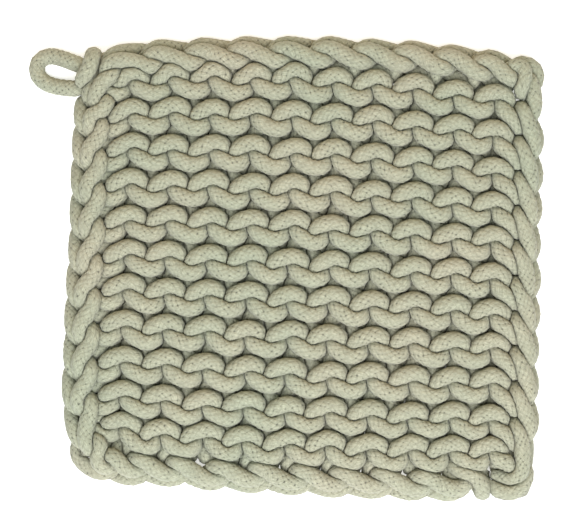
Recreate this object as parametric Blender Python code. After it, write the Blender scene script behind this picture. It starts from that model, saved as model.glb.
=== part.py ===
"""A square pot holder knitted from thick braided cotton cord, lying flat, with a cord loop at one corner.

Metres, +Z up. X runs along the knitted rows, Y up the columns, and the underside rests on z = 0. The origin
is on the underside, at the middle of the knitted panel.
"""

import math

import bpy
from mathutils import Vector

MM = 0.001

# The knitted panel: where its four sides would meet, how far each side bows out, and its thickness.
TOP_LEFT = Vector((-99.0, 90.0)) * MM
TOP_RIGHT = Vector((97.0, 92.0)) * MM
BOTTOM_RIGHT = Vector((101.0, -93.5)) * MM
BOTTOM_LEFT = Vector((-97.0, -92.0)) * MM
LEFT_BOW = 1.5 * MM
TOP_BOW = 6.5 * MM
RIGHT_BOW = 0.5 * MM
BOTTOM_BOW = 2.0 * MM
THICKNESS = 18.0 * MM
CORNER_REACH = 12.0 * MM  # how much of each side a rounded corner takes
CORNER_STEPS = 5
EDGE_ROUNDING = 4.5 * MM

# The chain of stitches that edges the panel: one link for each row or column, each swelling the outline.
LINKS_PER_SIDE = 11
LINK_SWELL = 1.2 * MM
POINTS_PER_LINK = 4

# The hanging loop: the cord's thickness, its route, and how it sags from the corner to the surface.
CORD_RADIUS = 3.2 * MM
CORNER_HEIGHT = 7.0 * MM
LOOP_STEPS_PER_SPAN = 4
LOOP_ROUTE = [  # x and y in millimetres, and the share of the sag that has been reached there
    (-100.9, 83.8, 0.0),
    (-104.2, 84.9, 0.3),
    (-107.0, 85.9, 0.6),
    (-110.4, 86.8, 0.9),
    (-114.3, 86.0, 1.0),
    (-117.0, 82.8, 1.0),
    (-116.5, 78.2, 1.0),
    (-113.2, 75.2, 0.9),
    (-108.8, 73.8, 0.6),
    (-105.2, 72.6, 0.3),
    (-102.1, 71.6, 0.0),
]

COTTON = (0.40, 0.40, 0.29, 1.0)
ROUGHNESS = 0.95


def clear_scene():
    for obj in list(bpy.data.objects):
        bpy.data.objects.remove(obj, do_unlink=True)


def cotton_material():
    material = bpy.data.materials.new("sage_cotton_cord")
    material.use_nodes = True
    shader = material.node_tree.nodes["Principled BSDF"]
    shader.inputs["Base Color"].default_value = COTTON
    shader.inputs["Roughness"].default_value = ROUGHNESS
    shader.inputs["Metallic"].default_value = 0.0
    return material


def side_point(start, end, bow, share):
    """A point on one bowed side, swollen where a chain link stands out."""
    along = end - start
    outward = Vector((-along.y, along.x)).normalized()
    swell = LINK_SWELL * (0.5 - 0.5 * math.cos(2 * math.pi * LINKS_PER_SIDE * share))
    return start + along * share + outward * (4 * bow * share * (1 - share) + swell)


def corner_points(before, tip, after):
    """A rounded corner, from the end of one side to the start of the next."""
    points = []
    for step in range(1, CORNER_STEPS):
        t = step / CORNER_STEPS
        points.append(before * (1 - t) ** 2 + tip * 2 * t * (1 - t) + after * t**2)
    return points


def panel_outline():
    """The points round the panel, clockwise from the bottom left corner."""
    corners = [BOTTOM_LEFT, TOP_LEFT, TOP_RIGHT, BOTTOM_RIGHT]
    bows = [LEFT_BOW, TOP_BOW, RIGHT_BOW, BOTTOM_BOW]
    sides = []
    for index, (start, bow) in enumerate(zip(corners, bows)):
        end = corners[(index + 1) % 4]
        margin = CORNER_REACH / (end - start).length
        steps = LINKS_PER_SIDE * POINTS_PER_LINK
        shares = [step / steps for step in range(1, steps)]
        sides.append([side_point(start, end, bow, s) for s in shares if margin < s < 1 - margin])
    points = []
    for index, side in enumerate(sides):
        following = sides[(index + 1) % 4]
        points += side + corner_points(side[-1], corners[(index + 1) % 4], following[0])
    return points


def add_spline(curve, points, cyclic):
    spline = curve.splines.new("POLY")
    spline.points.add(len(points) - 1)
    for control, point in zip(spline.points, points):
        control.co = (*point, 0.0, 1.0) if len(point) == 2 else (*point, 1.0)
    spline.use_cyclic_u = cyclic


def make_panel(material):
    """The knitted square with its chained edges, as one flat slab with rounded edges."""
    curve = bpy.data.curves.new("knit_panel", "CURVE")
    curve.dimensions = "2D"
    curve.fill_mode = "BOTH"
    curve.bevel_depth = EDGE_ROUNDING
    curve.bevel_resolution = 1
    curve.offset = -EDGE_ROUNDING
    curve.extrude = THICKNESS / 2 - EDGE_ROUNDING
    add_spline(curve, panel_outline(), cyclic=True)
    curve.materials.append(material)
    panel = bpy.data.objects.new("knit_panel", curve)
    panel.location.z = THICKNESS / 2
    return panel


def smooth_route(knots):
    """A Catmull-Rom curve through the knots, which leaves each end straight."""
    padded = [2 * knots[0] - knots[1], *knots, 2 * knots[-1] - knots[-2]]
    points = []
    for a, b, c, d in zip(padded, padded[1:], padded[2:], padded[3:]):
        for step in range(LOOP_STEPS_PER_SPAN):
            t = step / LOOP_STEPS_PER_SPAN
            cubic = (3 * b - 3 * c + d - a) * t**3
            points.append((2 * b + (c - a) * t + (2 * a - 5 * b + 4 * c - d) * t**2 + cubic) / 2)
    return points + [knots[-1]]


def make_loop(material):
    """The hanging loop: one length of cord that leaves the corner and comes back to it."""
    sag = CORNER_HEIGHT - CORD_RADIUS
    knots = [Vector((x * MM, y * MM, CORNER_HEIGHT - sag * share)) for x, y, share in LOOP_ROUTE]
    curve = bpy.data.curves.new("hanging_loop", "CURVE")
    curve.dimensions = "3D"
    curve.bevel_depth = CORD_RADIUS
    curve.bevel_resolution = 4
    curve.use_fill_caps = True
    add_spline(curve, smooth_route(knots), cyclic=False)
    curve.materials.append(material)
    return bpy.data.objects.new("hanging_loop", curve)


def main():
    clear_scene()
    collection = bpy.data.collections.new("pot_holder")
    bpy.context.scene.collection.children.link(collection)
    material = cotton_material()
    for obj in (make_panel(material), make_loop(material)):
        collection.objects.link(obj)


main()
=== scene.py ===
"""The looks of the pot holder: one thick braided cotton cord, knitted in garter stitch, with chained edges.

The cord is laid stitch by stitch, settled until its turns press against each other, and given a skin that is
flattened where they touch. Sizes are in millimetres until a mesh is made.
"""

import math

import bpy
import numpy as np
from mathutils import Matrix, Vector
from mathutils.kdtree import KDTree


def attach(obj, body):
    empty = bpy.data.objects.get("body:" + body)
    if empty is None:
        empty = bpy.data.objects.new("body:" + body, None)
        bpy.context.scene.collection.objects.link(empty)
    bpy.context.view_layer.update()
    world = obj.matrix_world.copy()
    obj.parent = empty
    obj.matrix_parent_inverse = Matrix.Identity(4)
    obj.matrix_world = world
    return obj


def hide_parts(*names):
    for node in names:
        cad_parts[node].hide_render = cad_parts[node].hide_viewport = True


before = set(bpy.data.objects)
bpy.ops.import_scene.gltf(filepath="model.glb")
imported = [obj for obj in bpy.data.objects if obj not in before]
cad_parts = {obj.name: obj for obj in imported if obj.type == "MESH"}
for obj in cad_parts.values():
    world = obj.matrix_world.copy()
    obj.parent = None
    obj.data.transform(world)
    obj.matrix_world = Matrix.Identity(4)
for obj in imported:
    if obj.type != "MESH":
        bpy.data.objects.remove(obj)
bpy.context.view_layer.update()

MM = 0.001

# The cord.
CORD = 7.2  # thickness of the cord where nothing presses on it
SWELL = 1.02  # how much thicker the cord of the knit is drawn, so that its turns close up
LOOP_CORD = 7.0  # the same cord in the hanging loop, pulled a little thinner
CARRIERS = 8  # strands of the braid that run each way round the cord; 16 in all
CELL = 2.85  # length along the cord of one strand's crossing
RELIEF = 0.3  # how much a strand stands out at the middle of its crossing
PLIES = 3  # plies drawn in each strand, about 0.9 apart; the real yarn has more, too fine to show
SWAY = 6.25  # length over which the twist of the cord wanders
PINCH = 3.85  # size of the places where the braid's pinholes are squeezed shut
PATCH = 33.3  # size of the places where the dye took warmer or greener
FIBRE = 1.11  # size of the flecks that the yarn's fibres make, coarser than the fibres so that they show
MIDDLE = 9.4  # height of the middle of the knit above the surface it lies on

# The knitted field: the middles of its lowest and its top ridge, from the outer side of the first column to
# that of the last.
COLUMNS = 10  # stitches in a row, between the two edge chains
RIDGES = 11  # garter ridges on each face; each is two rows of knitting
TOP_LEFT = (-85.3, 74.8)
TOP_RIGHT = (85.8, 72.0)
BOTTOM_RIGHT = (90.0, -75.7)
BOTTOM_LEFT = (-84.0, -71.7)
TOP_BOW = 4.9  # how far the top ridge arches up at its middle
BOTTOM_BOW = 3.2  # how far the lowest ridge sags at its middle
LOWEST_RAISED = 1.4  # the lowest ridge is drawn up against the one above it
UNEVEN = 0.5  # how far a hand knitter's stitches stray from their places; neighbours stray together

# A stitch.
HEAD_HEIGHT = 2.9  # how far a head or a foot stands off the middle of its ridge
CURL = 0.15  # how far the sides of a stitch curl under its head, as a share of a column
ARCH = 0.12  # how square the arch of a head is
LEAN = 1.1  # how much lower the left side of a stitch crosses than the right side
DEPTH = 4.5  # from the middle of the knit to the middle of the cord on either face
DIVE = 1.25  # how soon the cord turns down from the face
BACK_SHIFT = 0.045  # how far left the stitches on the back lie, as a share of a column
FIRST_WIDER = 5.0  # how much further out the first stitch reaches on its outer side
LAST_WIDER = 4.5  # and the last stitch on its own
TUCKED = 0.75  # how much of its depth the cord loses where a row begins, under the edge chain

# A link of an edge chain, as along the chain in links, across it and out of it in cord thicknesses. The cord
# comes up from the foot, runs out along one leg, round the head and back along the other leg.
LINK_FOOT = 0.46  # how far the foot lies behind the link's own place
LINK_REACH = 0.86  # how far the head lies beyond it
FOOT_DEEP = 1.0  # how deep the foot lies in the knit
LINK_LEG = [
    (-LINK_FOOT + 0.06, 0.20, 0.05),
    (-0.22, 0.26, 0.62),
    (0.05, 0.36, 0.80),
    (0.35, 0.50, 0.62),
    (0.62, 0.60, 0.30),
    (0.77, 0.36, 0.06),
]

# The edge chains' routes. The tilt turns the links' open faces from the front, 0, to the outside, 90 degrees,
# and stand is how far their legs stand out of those faces.
LONG_CHAIN = [  # link, x, y, tilt, stand: along the cast-on edge, up the left side, along the bind-off edge
    (1.0, 66.2, -85.4, 74, 1.0),
    (1.5, 58.0, -85.4, 74, 1.0),
    (4.9, 0.0, -85.6, 74, 1.0),
    (8.4, -60.0, -84.0, 72, 1.0),
    (9.9, -80.5, -83.2, 60, 1.0),
    (10.7, -86.2, -77.0, 50, 0.9),
    (12.5, -89.1, -50.0, 50, 0.9),
    (15.9, -88.8, 0.0, 50, 0.9),
    (19.3, -88.8, 50.0, 50, 0.9),
    (21.0, -88.0, 72.0, 50, 0.9),
    (21.8, -83.0, 81.5, 55, 0.8),
    (23.7, -50.0, 86.8, 70, 0.5),
    (26.5, 0.0, 90.0, 70, 0.5),
    (29.4, 50.0, 89.2, 70, 0.5),
    (31.4, 82.0, 86.5, 65, 0.6),
    (32.2, 88.5, 85.5, 65, 0.6),
    (33.0, 89.3, 75.5, 65, 0.6),
]
SHORT_CHAIN = [  # link, x, y, tilt, stand: up the right side
    (1.0, 92.0, -77.5, 80, 0.55),
    (2.0, 93.5, -61.0, 80, 0.55),
    (5.4, 91.5, -9.0, 80, 0.55),
    (8.9, 91.3, 43.0, 80, 0.55),
    (11.0, 90.5, 74.0, 80, 0.55),
    (12.0, 90.0, 88.0, 80, 0.55),
]

# Short lengths of the cord, as x, y and z.
CORNER_WRAP = [  # over the top left corner, holding the ends of the loop
    (-88.5, 82.0, -5.0),
    (-89.6, 85.0, -2.5),
    (-90.2, 85.8, 1.5),
    (-90.6, 84.0, 5.4),
    (-91.4, 80.5, 6.0),
    (-93.0, 76.5, 4.4),
    (-94.0, 74.0, 0.0),
    (-92.0, 73.0, -4.0),
]
CORNER_TURN = [  # at the bottom right, over the edge and under
    (67.0, -79.5, 0.0),
    (70.5, -82.0, 3.5),
    (75.0, -84.5, 5.4),
    (78.6, -88.0, 4.8),
    (79.9, -91.2, 1.5),
    (79.8, -91.3, -2.5),
    (78.5, -87.5, -5.0),
    (76.0, -82.0, -4.5),
]
CORNER_HOOK = [  # at the bottom right, along the edge and up round the corner
    (80.0, -83.5, -3.5),
    (83.0, -86.8, -0.5),
    (86.2, -89.8, 2.5),
    (90.5, -90.9, 3.6),
    (94.0, -88.8, 3.6),
    (95.3, -85.2, 2.6),
    (94.6, -82.0, -1.0),
    (91.5, -80.0, -4.0),
]
LOOP = [  # out of the top left corner, round, and back into it
    (-91.0, 79.8, -0.9),
    (-97.4, 82.4, -1.6),
    (-102.5, 84.2, -3.0),
    (-107.1, 85.7, -4.4),
    (-111.2, 86.5, -5.4),
    (-114.6, 85.7, -5.9),
    (-116.9, 83.5, -5.9),
    (-117.4, 80.6, -5.9),
    (-116.5, 77.7, -5.9),
    (-114.0, 75.4, -5.8),
    (-110.5, 74.0, -5.4),
    (-106.7, 73.3, -4.4),
    (-102.0, 72.9, -3.0),
    (-97.2, 73.0, -1.6),
    (-92.0, 75.0, -0.9),
]
CAST_ON_RIDGE = -0.42  # the cast-on strand runs behind the lowest ridge, in ridges from it
CAST_ON_DEEP = -3.0

# Settling the cord.
STEP = 1.7  # spacing of the points that the cord is laid with
ROUNDS = 160
GROWING = 90  # rounds in which the cord swells from its first thickness to its last
THIN = 0.30  # how close two turns come at first, centre to centre, in cord thicknesses
PRESSED = 0.62  # how close they come in the end
HIGHEST = 5.6  # how far the middle of the cord may lie from the middle of the knit
RESORT = 8  # rounds between two searches for the turns that are near each other
HOLD = 0.7  # how strongly the cord keeps its length
STIFF = 0.5  # how strongly it keeps its bends
HOME = 0.01  # how strongly each point is drawn to where it was laid

# Its skin.
SIDES = 24  # three to each carrier of the braid
SKIN_STEP = CELL / 3
NEAR = 1.05  # how near a turn has to be to press on another, in cord thicknesses
GAP = 0.15  # left between two turns that touch
LEAST = 1.5  # the least thickness to which a turn is pressed
SOFT = 8  # how sharply the round of the cord meets the flat where another turn presses on it
BULGE = 1.5  # how far a spoke runs where nothing is in its way, in radii, before SOFT rounds it off


def lerp(a, b, share):
    return a + (b - a) * share


def on_field(column, ridge):
    """Where a place in the knit lies: columns run from 0 to COLUMNS, ridges from 0 at the bottom, in mm."""
    u = column / COLUMNS
    v = ridge / (RIDGES - 1)
    x = lerp(lerp(BOTTOM_LEFT[0], BOTTOM_RIGHT[0], u), lerp(TOP_LEFT[0], TOP_RIGHT[0], u), v)
    low = lerp(BOTTOM_LEFT[1], BOTTOM_RIGHT[1], u) - 4 * BOTTOM_BOW * u * (1 - u)
    high = lerp(TOP_LEFT[1], TOP_RIGHT[1], u) + 4 * TOP_BOW * u * (1 - u)
    y = lerp(low, high, v) + LOWEST_RAISED * min(1.0, max(0.0, 1.0 - ridge))
    x += UNEVEN * math.sin(2.9 * column + 2.3 * ridge) * math.sin(math.pi * u)
    y += UNEVEN * math.sin(2.5 * column - 1.7 * ridge + 1.0)
    return x, y


def spaced(points, step):
    """The same line with its points evenly spaced."""
    points = np.asarray(points, float)
    along = np.concatenate([[0], np.cumsum(np.linalg.norm(np.diff(points, axis=0), axis=1))])
    count = max(2, round(along[-1] / step) + 1)
    at = np.linspace(0, along[-1], count)
    return np.stack([np.interp(at, along, points[:, axis]) for axis in range(3)], axis=1)


def through(knots, per_span=8):
    """A Catmull-Rom curve through the knots."""
    knots = np.asarray(knots, float)
    padded = np.vstack([2 * knots[0] - knots[1], knots, 2 * knots[-1] - knots[-2]])
    points = []
    for a, b, c, d in zip(padded, padded[1:], padded[2:], padded[3:]):
        for step in range(per_span):
            t = step / per_span
            cubic = (3 * b - 3 * c + d - a) * t**3
            points.append((2 * b + (c - a) * t + (2 * a - 5 * b + 4 * c - d) * t**2 + cubic) / 2)
    return np.array(points + [knots[-1]])


# --- laying the cord ---


def knitted_row(ridge, face):
    """One row of stitches, from the left edge to the right.

    face is 1 for a row whose heads stand out on the front of this ridge, and -1 for the row above it, whose
    feet hang in the same ridge and whose heads stand out on the back.
    """
    pitch = on_field(0, 1)[1] - on_field(0, 0)[1]
    turns = np.linspace(0, COLUMNS, COLUMNS * 40)
    column = turns + CURL * np.sin(4 * np.pi * turns)
    wave = np.cos(2 * np.pi * turns)
    arch = (wave + ARCH * np.cos(6 * np.pi * turns)) / (1 + ARCH)
    middle = ridge - 0.25 * face  # each face's row is centred half a row below or above the ridge
    height = middle - (0.25 + HEAD_HEIGHT / pitch) * arch + face * LEAN / pitch * np.sin(4 * np.pi * turns)
    if face < 0:
        column = column - BACK_SHIFT
    first = np.clip(1 - 2 * turns, 0, 1)
    last = np.clip(1 - 2 * (COLUMNS - turns), 0, 1)
    points = []
    for c, h, w, a, b in zip(column, height, wave, first, last):
        x, y = on_field(c, h)
        if face > 0:
            x += LAST_WIDER * b - FIRST_WIDER * a
        tuck = 1 - TUCKED * np.clip(2 * a - 1, 0, 1)
        points.append((x, y, -face * DEPTH * tuck * np.sign(w) * abs(w) ** DIVE))

    # The row turns down at its end, into the chain, and starts inside the other one.
    out = 1.0 if face < 0 else 0.3
    x, y, z = points[-1]
    points.append((x + 1.5 * out, y - 1.5, 0.9 * z))
    points.append((x + 2.8 * out, y - 3.5, 0.55 * z))
    points.append((x + 3.8 * out, y - 5.5, 0))
    x, y, z = points[0]
    points = [(x - 3.0 * out, y + 0.8, 0.1 * z)] + points
    return spaced(spaced(points, 0.6), STEP)


def chained_edge(route, side=1):
    """A chain of links along a route; side is 1 with the knit on the route's right, and -1 on its left."""
    route = through(route)
    number = route[:, 0]
    back = [(s, -q, m) for s, q, m in reversed(LINK_LEG)]
    link_knots = [(-LINK_FOOT, 0.0, -FOOT_DEEP), *LINK_LEG, (LINK_REACH, 0.0, -0.05), *back]
    path = []
    for link in range(math.ceil(number[0]), int(number[-1])):
        path += [(link + s, q, m) for s, q, m in link_knots]
    curve = through(path)

    # Where each point's own link number lies on the route, and which way the chain heads there.
    s = np.clip(curve[:, 0], number[0], number[-1])
    place = np.stack([np.interp(s, number, route[:, axis]) for axis in (1, 2)], axis=1)
    course = np.gradient(route[:, 1:3], axis=0) / np.gradient(number)[:, None]
    speed = np.stack([np.interp(s, number, course[:, axis]) for axis in range(2)], axis=1)
    place = place + speed * (curve[:, 0] - s)[:, None]
    heading = speed / np.linalg.norm(speed, axis=1)[:, None]

    turn = np.radians(np.interp(s, number, route[:, 3]))
    stand = np.interp(s, number, route[:, 4])
    cross = CORD * curve[:, 1]
    rise = CORD * curve[:, 2] * np.where(curve[:, 2] > 0, stand, 1.0)
    inward = cross * np.cos(turn) - rise * np.sin(turn)
    height = cross * np.sin(turn) + rise * np.cos(turn)
    x = place[:, 0] + side * inward * heading[:, 1]
    y = place[:, 1] - side * inward * heading[:, 0]
    return spaced(np.stack([x, y, height], axis=1), STEP)


def laid_cord():
    """Every strand of the knit by name, before it settles."""
    strands = {}
    for ridge in range(RIDGES):
        strands[f"row_{2 * ridge + 1:02d}"] = knitted_row(ridge, 1)
        strands[f"row_{2 * ridge + 2:02d}"] = knitted_row(ridge, -1)
    strands["edge"] = chained_edge(LONG_CHAIN)
    strands["right"] = chained_edge(SHORT_CHAIN, side=-1)
    for name, route in (("corner", CORNER_WRAP), ("turn", CORNER_TURN), ("hook", CORNER_HOOK)):
        strands[name] = spaced(through(route), STEP)
    cast_on = [(*on_field(column, CAST_ON_RIDGE), CAST_ON_DEEP) for column in range(1, COLUMNS)]
    strands["cast_on"] = spaced(through(cast_on), STEP)
    return strands


# --- settling it ---


def near_pairs(points, strand, reach):
    """Pairs of points closer than reach that aren't neighbours on the same stretch of cord."""
    tree = KDTree(len(points))
    for index, point in enumerate(points):
        tree.insert(point, index)
    tree.balance()
    apart = int(1.5 * CORD / STEP)
    first, second = [], []
    for index, point in enumerate(points):
        for _, other, _ in tree.find_range(point, reach):
            if other > index and (strand[other] != strand[index] or other - index > apart):
                first.append(index)
                second.append(other)
    return np.array(first), np.array(second)


def strand_numbers(strands):
    return np.concatenate([np.full(len(s), i) for i, s in enumerate(strands)])


def split_again(points, strands):
    return np.split(points, np.cumsum([len(s) for s in strands])[:-1])


def settle(strands):
    """Push turns of cord apart where they overlap. The cord keeps its length, its bends and its ends."""
    points = np.vstack(strands)
    strand = strand_numbers(strands)
    home = points.copy()
    joined = strand[1:] == strand[:-1]
    rest = np.linalg.norm(np.diff(points, axis=0), axis=1)
    free = np.zeros(len(points), bool)
    free[1:-1] = joined[1:] & joined[:-1]
    inner = np.zeros(len(points), bool)
    inner[2:-2] = strand[4:] == strand[:-4]
    for round_ in range(ROUNDS):
        wanted = CORD * lerp(THIN, PRESSED, min(1.0, round_ / GROWING))
        if round_ % RESORT == 0:
            first, second = near_pairs(points, strand, CORD * PRESSED + 1.5)
        gap = points[second] - points[first]
        far = np.linalg.norm(gap, axis=1) + 1e-9
        push = np.clip(wanted - far, 0, None) / far * 0.5
        moved = gap * push[:, None]
        shift = np.zeros_like(points)
        touching = (push > 0).astype(float)
        count = np.bincount(first, touching, len(points)) + np.bincount(second, touching, len(points))
        for axis in range(3):
            shift[:, axis] -= np.bincount(first, moved[:, axis], len(points))
            shift[:, axis] += np.bincount(second, moved[:, axis], len(points))
        shift /= np.maximum(1.0, count * 0.5)[:, None]
        points[free] += shift[free]

        stretch = np.diff(points, axis=0)
        long = np.linalg.norm(stretch, axis=1) + 1e-9
        pull = stretch * ((long - rest) / long * 0.5)[:, None] * joined[:, None] * HOLD
        points[:-1][free[:-1]] += pull[free[:-1]]
        points[1:][free[1:]] -= pull[free[1:]]

        drift = points - home
        bend = np.zeros_like(points)
        bend[1:-1] = drift[1:-1] - (drift[:-2] + drift[2:]) / 2
        smooth = free & inner
        points[smooth] -= STIFF * bend[smooth]
        points[free] += HOME * (home - points)[free]
        points[:, 2] = np.clip(points[:, 2], -HIGHEST, HIGHEST)
    return split_again(points, strands)


# --- its skin ---


def frames_along(points):
    """Two directions across the line at each point, carried along without twisting."""
    ahead = np.gradient(points, axis=0)
    ahead /= np.linalg.norm(ahead, axis=1)[:, None]
    side = np.zeros_like(points)
    first = np.cross(ahead[0], (0.0, 0.0, 1.0))
    if np.linalg.norm(first) < 0.1:
        first = np.cross(ahead[0], (0.0, 1.0, 0.0))
    side[0] = first / np.linalg.norm(first)
    for index in range(1, len(points)):
        carried = side[index - 1] - ahead[index] * np.dot(side[index - 1], ahead[index])
        side[index] = carried / np.linalg.norm(carried)
    return side, np.cross(ahead, side)


def skins(strands, thickness):
    """Rings of points round each strand, drawn in where it meets another turn of cord."""
    points = np.vstack(strands)
    strand = strand_numbers(strands)
    radius = np.array(thickness)[strand] / 2
    first, second = near_pairs(points, strand, NEAR * max(thickness))
    frames = [frames_along(s) for s in strands]
    side = np.vstack([f[0] for f in frames])
    up = np.vstack([f[1] for f in frames])
    angle = np.linspace(0, 2 * np.pi, SIDES, endpoint=False)
    spokes = side[:, None] * np.cos(angle)[None, :, None] + up[:, None] * np.sin(angle)[None, :, None]

    # A spoke ends at the plane half way to any turn it points at, and then everything is rounded to the cord.
    size = np.repeat(BULGE * radius[:, None], SIDES, axis=1)
    for near, far in ((first, second), (second, first)):
        gap = points[far] - points[near]
        apart = np.maximum(np.linalg.norm(gap, axis=1), 0.5)
        toward = np.einsum("psk,pk->ps", spokes[near], gap / apart[:, None])
        room = np.maximum(apart - GAP, LEAST) / 2
        limit = room[:, None] / np.maximum(toward, 0.05)
        limit = np.where(toward > 0.05, limit, 1e3)
        np.minimum.at(size, near, limit)
    size = (size**-SOFT + radius[:, None] ** -SOFT) ** (-1 / SOFT)

    along = np.concatenate([np.arange(len(s)) * SKIN_STEP for s in strands])[:, None] / CELL
    around = CARRIERS * angle[None, :] / (2 * np.pi)
    crossing = np.abs(np.sin(np.pi * (around + along)) * np.sin(np.pi * (around - along)))
    size += RELIEF * (np.sqrt(crossing) - 0.6)
    return split_again(points[:, None] + spokes * size[:, :, None], strands)


def skin_mesh(name, rings):
    """A tube with closed ends through the rings, with a UV of turns round and millimetres along."""
    count = len(rings)
    middle = rings.mean(axis=1)
    vertices = np.vstack([rings.reshape(-1, 3), middle[:1], middle[-1:]]) * MM
    ring = np.arange(count - 1)[:, None] * SIDES
    turn = np.arange(SIDES)[None, :]
    after = (turn + 1) % SIDES
    quads = np.stack([ring + turn, ring + after, ring + SIDES + after, ring + SIDES + turn], axis=2)
    faces = quads.reshape(-1, 4).tolist()
    start = count * SIDES
    last = start - SIDES
    for t in range(SIDES):
        n = (t + 1) % SIDES
        faces.append((start, n, t))
        faces.append((start + 1, last + t, last + n))
    mesh = bpy.data.meshes.new(name)
    mesh.from_pydata(vertices.tolist(), [], faces)

    along = np.arange(count) * SKIN_STEP
    uvs = []
    for v0, v1 in zip(along, along[1:]):
        for t in range(SIDES):
            u0, u1 = t / SIDES, (t + 1) / SIDES
            uvs += [u0, v0, u1, v0, u1, v1, u0, v1]
    for t in range(SIDES):
        u0, u1 = t / SIDES, (t + 1) / SIDES
        uvs += [u0, along[0], u1, along[0], u0, along[0]]
        uvs += [u0, along[-1], u0, along[-1], u1, along[-1]]
    mesh.uv_layers.new(name="cord").data.foreach_set("uv", uvs)
    mesh.shade_smooth()
    mesh.update()
    piece = bpy.data.objects.new(name, mesh)
    bpy.context.collection.objects.link(piece)
    return piece


# --- the finish ---


def srgb(code):
    """A colour written as sRGB hex, as the linear colour that shaders take."""
    parts = [int(code[i : i + 2], 16) / 255 for i in (0, 2, 4)]
    return tuple(p / 12.92 if p <= 0.04045 else ((p + 0.055) / 1.055) ** 2.4 for p in parts) + (1.0,)


def add(tree, kind, inputs=(), **settings):
    """Add a node with its settings; inputs pairs each socket with a value, a node or a node's output."""
    node = tree.nodes.new(kind)
    for name, value in settings.items():
        setattr(node, name, value)
    for socket, source in inputs:
        if isinstance(source, bpy.types.Node):
            source = source.outputs[0]
        if isinstance(source, bpy.types.NodeSocket):
            tree.links.new(source, node.inputs[socket])
        else:
            node.inputs[socket].default_value = source
    return node


def per(size):
    """How many times a pattern of this size in millimetres repeats in a metre."""
    return 1 / (size * MM)


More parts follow.
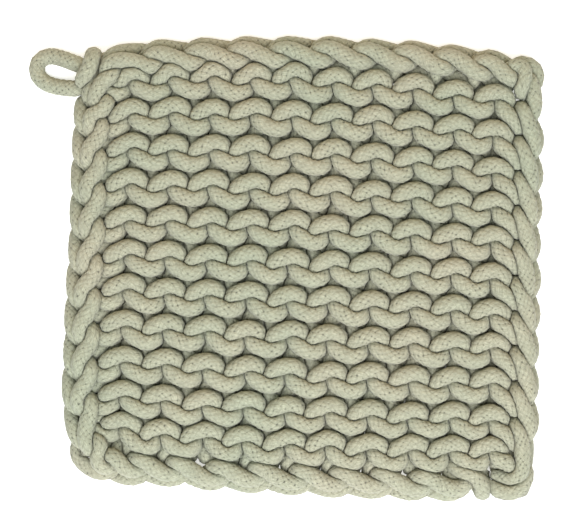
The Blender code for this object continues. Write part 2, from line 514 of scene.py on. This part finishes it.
def braided_cotton():
    """Cotton yarn, machine braided into a soft cord of 16 carriers and dyed a pale sage.

    It looks matt and slightly fuzzy. Each crossing is a small rounded lozenge with the fine lines of its
    plies, there are pinholes where four of them meet, and the dye took a little warmer in places. The seams,
    the pinholes and the ply lines are also darkened in the colour, as painted shade.
    """
    material = bpy.data.materials.new("braided_cotton")
    material.use_nodes = True
    tree = material.node_tree
    shader = tree.nodes["Principled BSDF"]

    # The two families of strands, one winding each way. The sway is a hand's unevenness in the cord's twist.
    cord = add(tree, "ShaderNodeUVMap", uv_map="cord")
    place = add(tree, "ShaderNodeSeparateXYZ", [(0, cord)])
    object_place = add(tree, "ShaderNodeTexCoord").outputs["Object"]
    sway = add(tree, "ShaderNodeTexNoise", [("Vector", object_place), ("Scale", per(SWAY)), ("Detail", 1.0)])
    sway = add(tree, "ShaderNodeMath", [(0, sway), (1, 5.0)], operation="MULTIPLY")
    around = [(0, place.outputs[0]), (1, CARRIERS * math.pi), (2, sway)]
    around = add(tree, "ShaderNodeMath", around, operation="MULTIPLY_ADD")
    along = add(tree, "ShaderNodeMath", [(0, place.outputs[1]), (1, math.pi / CELL)], operation="MULTIPLY")
    left = add(tree, "ShaderNodeMath", [(0, around), (1, along)], operation="ADD")
    right = add(tree, "ShaderNodeMath", [(0, around), (1, along)], operation="SUBTRACT")
    sine_left = add(tree, "ShaderNodeMath", [(0, left)], operation="SINE")
    sine_right = add(tree, "ShaderNodeMath", [(0, right)], operation="SINE")
    crossing = add(tree, "ShaderNodeMath", [(0, sine_left), (1, sine_right)], operation="MULTIPLY")
    depth = add(tree, "ShaderNodeMath", [(0, crossing)], operation="ABSOLUTE")
    lozenge = add(tree, "ShaderNodeMath", [(0, depth), (1, 0.5)], operation="POWER")
    over = add(tree, "ShaderNodeMath", [(0, crossing), (1, 0.0)], operation="GREATER_THAN")

    # The plies of a strand lie at a small angle to it. Their lines give the bump, and in the colour they are
    # painted shade, each ply lighter on its crown and darker in the grooves between.
    ply_left = add(tree, "ShaderNodeMath", [(0, left), (1, 2.0 * PLIES)], operation="MULTIPLY")
    ply_right = add(tree, "ShaderNodeMath", [(0, right), (1, 2.0 * PLIES)], operation="MULTIPLY")
    lean_left = add(tree, "ShaderNodeMath", [(0, right), (1, 1.5), (2, ply_left)], operation="MULTIPLY_ADD")
    lean_right = add(tree, "ShaderNodeMath", [(0, left), (1, 1.5), (2, ply_right)], operation="MULTIPLY_ADD")
    ply_angle = add(tree, "ShaderNodeMix", [(0, over), (2, lean_right), (3, lean_left)], data_type="FLOAT")
    plies = add(tree, "ShaderNodeMath", [(0, ply_angle)], operation="SINE")

    # Pinholes, where four crossings meet; some are squeezed shut. The open ones are painted dark in the
    # colour, as the shade inside them, and sunk in the bump.
    wide_left = add(tree, "ShaderNodeMath", [(0, sine_left)], operation="ABSOLUTE")
    wide_right = add(tree, "ShaderNodeMath", [(0, sine_right)], operation="ABSOLUTE")
    corner = add(tree, "ShaderNodeMath", [(0, wide_left), (1, wide_right)], operation="ADD")
    squeeze = [("Vector", object_place), ("Scale", per(PINCH)), ("Detail", 0.0)]
    squeeze = add(tree, "ShaderNodeTexNoise", squeeze)
    hole_size = add(
        tree,
        "ShaderNodeMapRange",
        [("Value", squeeze), ("From Min", 0.40), ("From Max", 0.66), ("To Min", 0.2), ("To Max", 1.0)],
    )
    # Painted shade: the colour drops to a quarter in an open pinhole; the same mask also lowers the bump.
    pinhole = add(
        tree,
        "ShaderNodeMapRange",
        [("Value", corner), ("From Min", 0.0), ("From Max", hole_size), ("To Min", 0.25), ("To Max", 1.0)],
        interpolation_type="SMOOTHSTEP",
    )

    # Colour: warm and green patches a few stitches wide and yarns that differ, times painted shade: darker
    # seams between strands where the crossings dip, dark pinholes and striped plies.
    patches = [("Vector", object_place), ("Scale", per(PATCH)), ("Detail", 6.0)]
    patches = add(tree, "ShaderNodeTexNoise", patches)
    tint = add(tree, "ShaderNodeValToRGB", [(0, patches)])
    tint.color_ramp.elements[0].position = 0.34
    tint.color_ramp.elements[0].color = srgb("A8AB93")
    tint.color_ramp.elements[1].position = 0.70
    tint.color_ramp.elements[1].color = srgb("B1AD95")
    # Painted shade: the seams between strands are darkened where the crossings dip, and the crowns of the
    # crossings are a little lighter.
    painted_seam_shade = add(
        tree,
        "ShaderNodeMapRange",
        [("Value", lozenge), ("From Min", 0.0), ("From Max", 0.9), ("To Min", 0.90), ("To Max", 1.02)],
        interpolation_type="SMOOTHSTEP",
    )
    fibres = [("Vector", object_place), ("Scale", per(FIBRE)), ("Detail", 4.0)]
    fibres = add(tree, "ShaderNodeTexNoise", fibres)
    yarn = add(
        tree,
        "ShaderNodeMapRange",
        [("Value", fibres), ("From Min", 0.3), ("From Max", 0.7), ("To Min", 0.78), ("To Max", 1.16)],
    )
    # Painted shade: the colour is striped lighter and darker across the plies.
    painted_ply_shade = add(tree, "ShaderNodeMath", [(0, plies), (1, 0.13), (2, 0.97)], operation="MULTIPLY_ADD")
    # The painted shade of the seams, pinholes and plies, times the real flecks of the fibres.
    painted_shade_and_flecks = add(tree, "ShaderNodeMath", [(0, painted_seam_shade), (1, pinhole)], operation="MULTIPLY")
    painted_shade_and_flecks = add(tree, "ShaderNodeMath", [(0, painted_shade_and_flecks), (1, yarn)], operation="MULTIPLY")
    painted_shade_and_flecks = add(tree, "ShaderNodeMath", [(0, painted_shade_and_flecks), (1, painted_ply_shade)], operation="MULTIPLY")
    colour = add(tree, "ShaderNodeVectorMath", [(0, tint), (3, painted_shade_and_flecks)], operation="SCALE")
    tree.links.new(colour.outputs[0], shader.inputs["Base Color"])

    height = add(tree, "ShaderNodeMath", [(0, plies), (1, 0.10), (2, lozenge)], operation="MULTIPLY_ADD")
    height = add(tree, "ShaderNodeMath", [(0, height), (1, pinhole)], operation="MULTIPLY")
    rough = add(tree, "ShaderNodeMath", [(0, fibres), (1, 0.5), (2, height)], operation="MULTIPLY_ADD")
    bump = add(tree, "ShaderNodeBump", [("Height", rough), ("Strength", 0.6), ("Distance", 0.0004)])
    tree.links.new(bump.outputs[0], shader.inputs["Normal"])
    shader.inputs["Roughness"].default_value = 0.95
    shader.inputs["Specular IOR Level"].default_value = 0.2
    shader.inputs["Sheen Weight"].default_value = 0.15
    shader.inputs["Sheen Roughness"].default_value = 0.6
    return material


# --- the pot holder ---


def cord_piece(name, rings, material):
    piece = skin_mesh(name, rings + np.array([0, 0, MIDDLE]))
    piece.data.materials.append(material)
    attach(piece, "root")
    return piece


def pot_holder():
    laid = laid_cord()
    strands = [spaced(through(s, 3), SKIN_STEP) for s in settle(list(laid.values()))]
    loop = spaced(through(LOOP, 24), SKIN_STEP)
    thickness = [CORD * SWELL] * len(strands) + [LOOP_CORD]
    *knit_rings, loop_rings = skins(strands + [loop], thickness)
    material = braided_cotton()
    for name, rings in zip(laid, knit_rings):
        piece = cord_piece(name, rings, material)
        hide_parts("knit_panel")

    piece = cord_piece("loop", loop_rings, material)
    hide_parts("hanging_loop")


def area_light(name, place, size, watts, colour):
    """A soft box that faces the object."""
    lamp = bpy.data.lights.new(name, "AREA")
    lamp.size = size
    lamp.energy = watts
    lamp.color = srgb(colour)[:3]
    light = bpy.data.objects.new(name, lamp)
    light.location = place
    light.rotation_euler = (-Vector(place)).to_track_quat("-Z", "Y").to_euler()
    bpy.context.collection.objects.link(light)


def studio():
    """A white table as far as the eye goes, a large soft box above the front, and a weak warm one behind."""
    bpy.ops.mesh.primitive_plane_add(size=60.0, location=(0, 0, 0))
    floor = bpy.context.object
    floor.name = "floor"
    paper = bpy.data.materials.new("paper")
    paper.use_nodes = True
    shader = paper.node_tree.nodes["Principled BSDF"]
    shader.inputs["Base Color"].default_value = srgb("FAFAF9")
    shader.inputs["Roughness"].default_value = 0.9
    shader.inputs["Emission Color"].default_value = (1, 1, 1, 1)
    shader.inputs["Emission Strength"].default_value = 0.55
    floor.data.materials.append(paper)
    world = bpy.data.worlds.new("studio")
    bpy.context.scene.world = world
    world.use_nodes = True
    world.node_tree.nodes["Background"].inputs["Color"].default_value = srgb("FFFFE8")
    world.node_tree.nodes["Background"].inputs["Strength"].default_value = 0.19
    area_light("key", (0.05, -0.45, 0.85), 0.9, 16.6, "F4F8FF")
    area_light("back", (0.0, 0.75, 0.35), 0.6, 2.5, "FFDDB4")


def camera_above():
    """Straight above the knit, a little to the left and turned a little, so that 246 mm fill its width."""
    camera = bpy.data.cameras.new("camera")
    camera.lens = 100
    camera.sensor_width = 36
    seen_width = 0.2458
    knit_height = 0.010
    eye = bpy.data.objects.new("camera", camera)
    eye.location = (-0.0060, 0.0023, seen_width * camera.lens / camera.sensor_width + knit_height)
    eye.rotation_euler = (0, 0, math.radians(2.3))
    bpy.context.collection.objects.link(eye)
    bpy.context.scene.camera = eye


pot_holder()
studio()
camera_above()
bpy.context.scene.view_settings.view_transform = "Standard"
